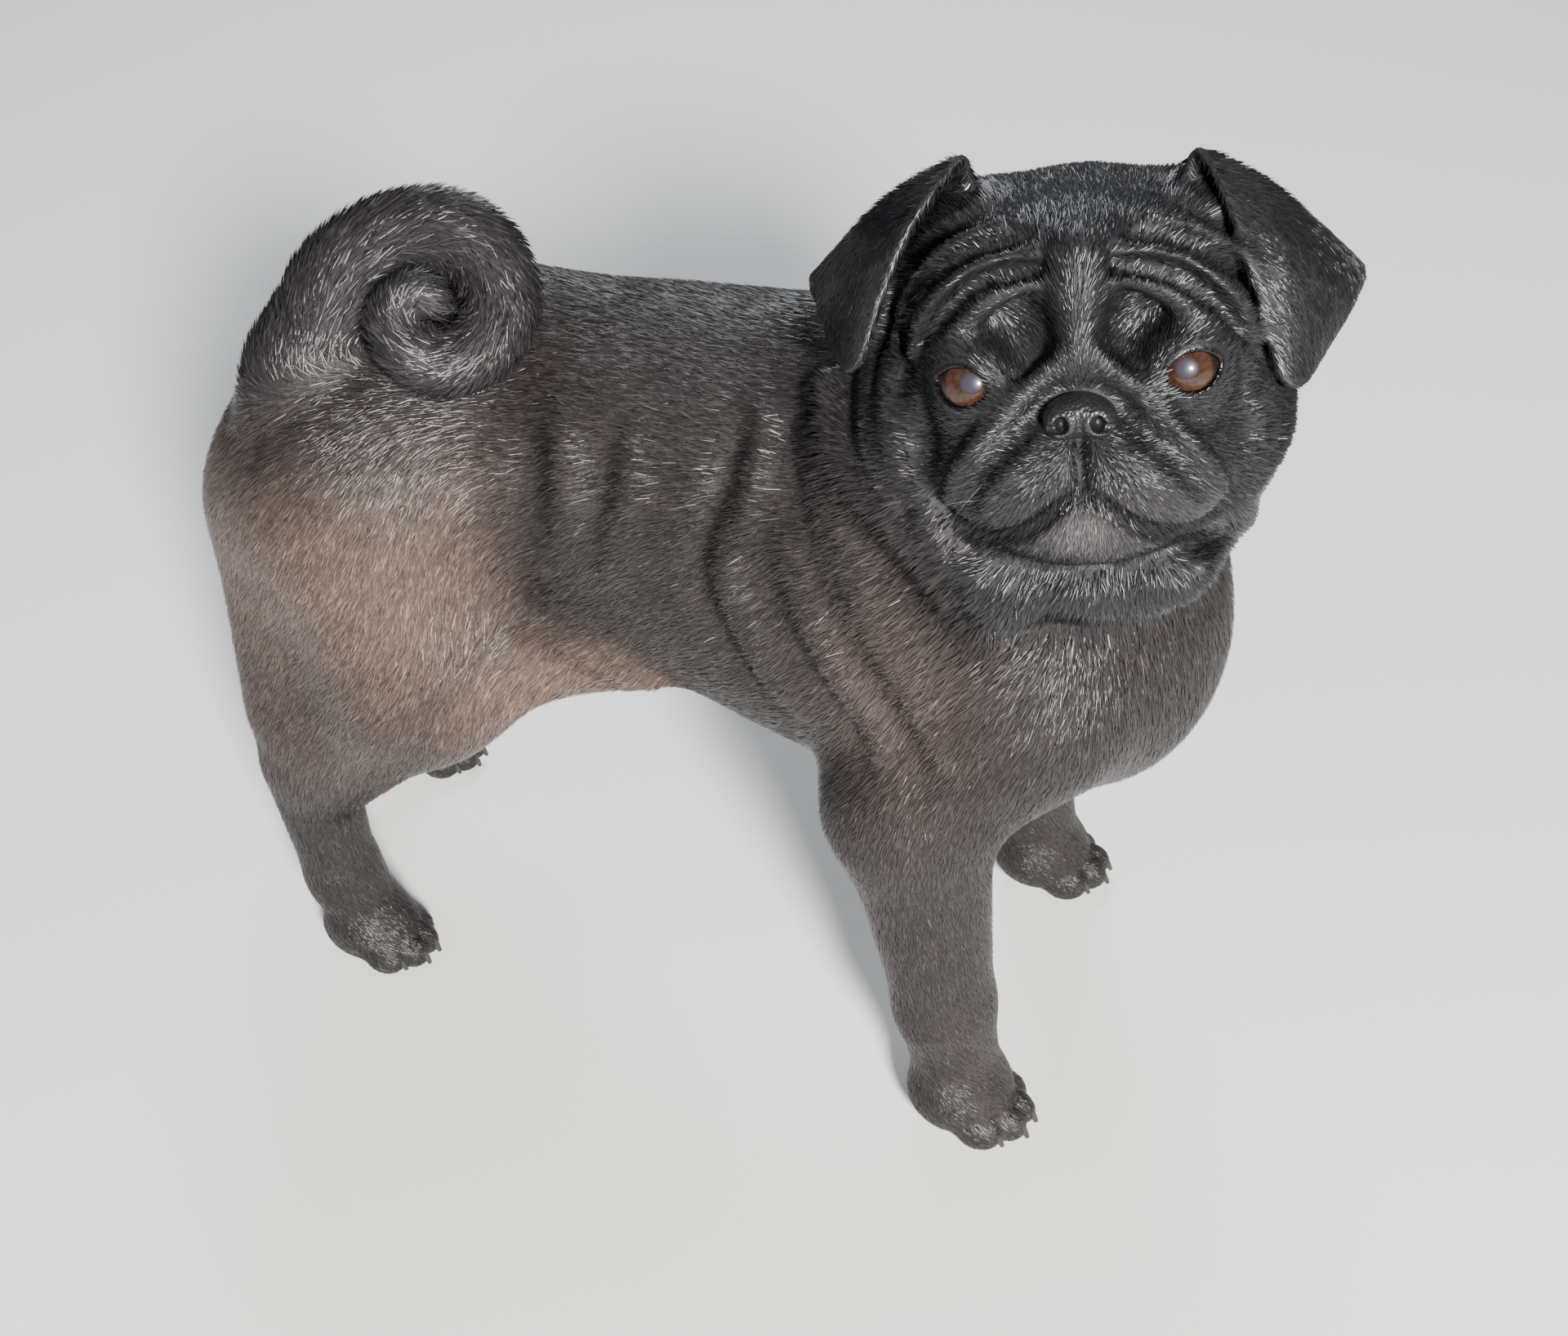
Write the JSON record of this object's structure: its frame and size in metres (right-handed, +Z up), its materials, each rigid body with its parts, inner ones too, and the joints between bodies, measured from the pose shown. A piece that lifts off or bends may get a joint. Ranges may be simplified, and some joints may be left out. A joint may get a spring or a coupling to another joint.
{
  "type": "pug",
  "caption": "Black pug standing square with its head turned to one side, flat wrinkled face, folded ears and a curled tail; a still life-size model.",
  "frame": {"origin": "on the floor, under the middle of the whole dog", "axes": "+X towards the chest along the back, +Y towards the dog's left, +Z up"},
  "size_m": [0.444, 0.201, 0.3768],
  "materials": {
    "coat": "short black fur with a soft sheen",
    "leg": "short brown-black fur",
    "ear": "velvety black fur",
    "paw": "short black fur, black claws",
    "nose": "moist, finely pebbled",
    "eye": "wet, dark brown"
  },
  "bodies": {
    "root": {"head": "coat", "nose": "nose", "eye_right": "eye", "eye_left": "eye", "ear_right": "ear", "ear_left": "ear", "neck": "coat", "torso": "coat", "tail_base": "coat", "tail_mid": "coat", "tail_tip": "coat", "foreleg_upper_right": "leg", "foreleg_lower_right": "leg", "forepaw_right": "paw", "hindleg_upper_right": "leg", "hindleg_lower_right": "leg", "hindpaw_right": "paw", "foreleg_upper_left": "leg", "foreleg_lower_left": "leg", "forepaw_left": "paw", "hindleg_upper_left": "leg", "hindleg_lower_left": "leg", "hindpaw_left": "paw"}
  },
  "joints": []
}
